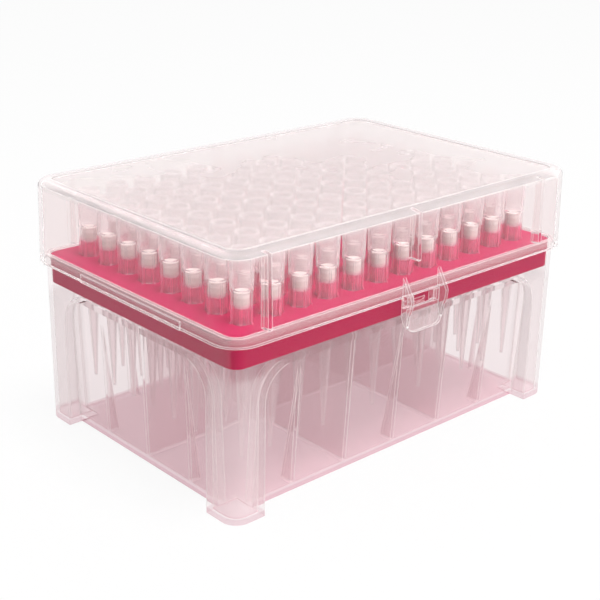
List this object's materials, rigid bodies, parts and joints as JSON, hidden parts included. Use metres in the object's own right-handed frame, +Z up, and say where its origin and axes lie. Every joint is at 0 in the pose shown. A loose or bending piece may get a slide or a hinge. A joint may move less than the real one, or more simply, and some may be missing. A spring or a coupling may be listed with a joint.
{
  "type": "pipette tip box",
  "caption": "Clear rectangular box on four feet with a hinged latched lid, a coloured rack plate with a grid of holes, and filter tips standing in the holes.",
  "frame": {"origin": "on the ground under the middle of the box", "axes": "+Z up, +X along the long side, the latch on the -Y side and the hinge on the +Y side"},
  "size_m": [0.124, 0.0922, 0.0684],
  "materials": {
    "clear_base": "clear, slightly milky moulded polypropylene",
    "clear_lid": "clear, slightly milky moulded polypropylene",
    "pink_rack": "opaque crimson-pink moulded plastic, satin",
    "clear_tip": "clear moulded polypropylene",
    "white_filter": "porous sintered plastic, matt"
  },
  "bodies": {
    "box": {"base": "clear_base", "rack_plate": "pink_rack", "tips_column_01": "clear_tip", "tips_column_02": "clear_tip", "tips_column_03": "clear_tip", "tips_column_04": "clear_tip", "tips_column_05": "clear_tip", "tips_column_06": "clear_tip", "tips_column_07": "clear_tip", "tips_column_08": "clear_tip", "tips_column_09": "clear_tip", "tips_column_10": "clear_tip", "tips_column_11": "clear_tip", "tips_column_12": "clear_tip", "filters_column_01": "white_filter", "filters_column_02": "white_filter", "filters_column_03": "white_filter", "filters_column_04": "white_filter", "filters_column_05": "white_filter", "filters_column_06": "white_filter", "filters_column_07": "white_filter", "filters_column_08": "white_filter", "filters_column_09": "white_filter", "filters_column_10": "white_filter", "filters_column_11": "white_filter", "filters_column_12": "white_filter"},
    "cover": {"lid": "clear_lid"}
  },
  "joints": [
    {"name": "lid_hinge", "type": "hinge", "parent": "box", "child": "cover", "pos_m": [0, 0.0444, 0.0454], "axis": [-1, 0, 0], "range_deg": [0, 110]}
  ]
}
